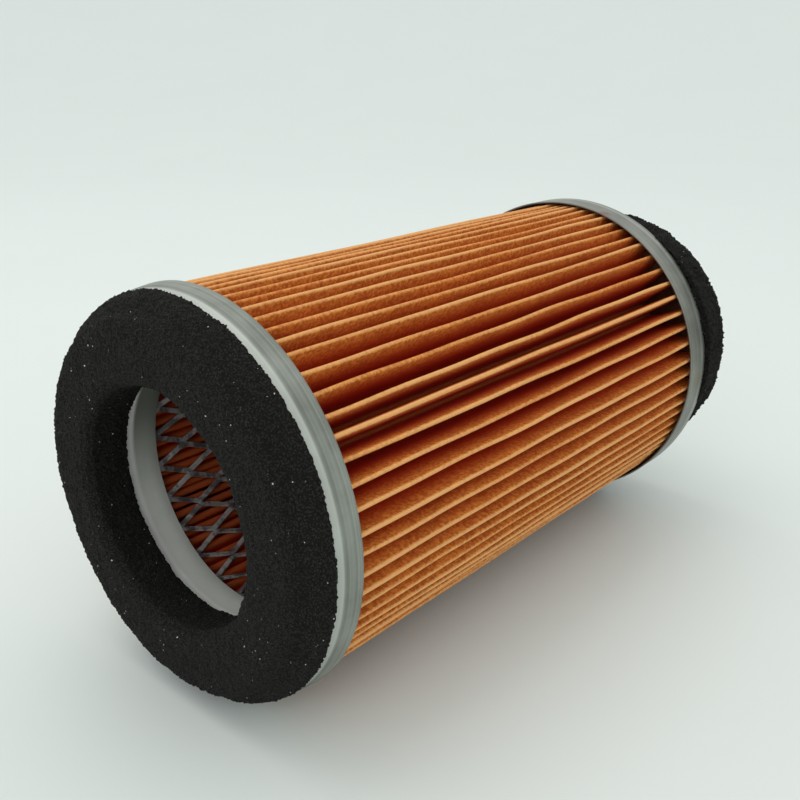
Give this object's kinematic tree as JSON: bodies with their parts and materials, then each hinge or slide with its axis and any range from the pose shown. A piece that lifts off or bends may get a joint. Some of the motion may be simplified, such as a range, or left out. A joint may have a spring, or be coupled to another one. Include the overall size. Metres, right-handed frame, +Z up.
{
  "type": "pleated paper air filter element",
  "caption": "Cylindrical pleated-paper air filter element with stamped steel end caps, an expanded-metal core, one open and one closed end, and a foam gasket ring on each end.",
  "frame": {"origin": "on the element's axis, in the plane of the open end cap's rim, inside the hole of the foam gasket that sits in the cap's recess", "axes": "+Y along the element's axis from the open end to the closed end; +Z up, with the element lying on its side on its two end caps; +X to the right when looking along +Y"},
  "size_m": [0.0985, 0.18, 0.097],
  "materials": {
    "foam": "open-cell polyurethane foam",
    "contact_glue": "dried contact adhesive",
    "zinc_sheet": "zinc-plated satin sheet",
    "potting": "cured adhesive bed",
    "filter_paper": "resin-treated filter paper",
    "mesh_steel": "plated expanded steel"
  },
  "bodies": {
    "root": {"front_foam_gasket": "foam", "rear_foam_gasket": "foam", "front_gasket_glue": "contact_glue", "rear_gasket_glue": "contact_glue", "front_end_cap": "zinc_sheet", "rear_end_cap": "zinc_sheet", "front_potting": "potting", "rear_potting": "potting", "paper_seam_bead": "potting", "pleated_paper": "filter_paper", "core_tube": "mesh_steel"}
  },
  "joints": []
}
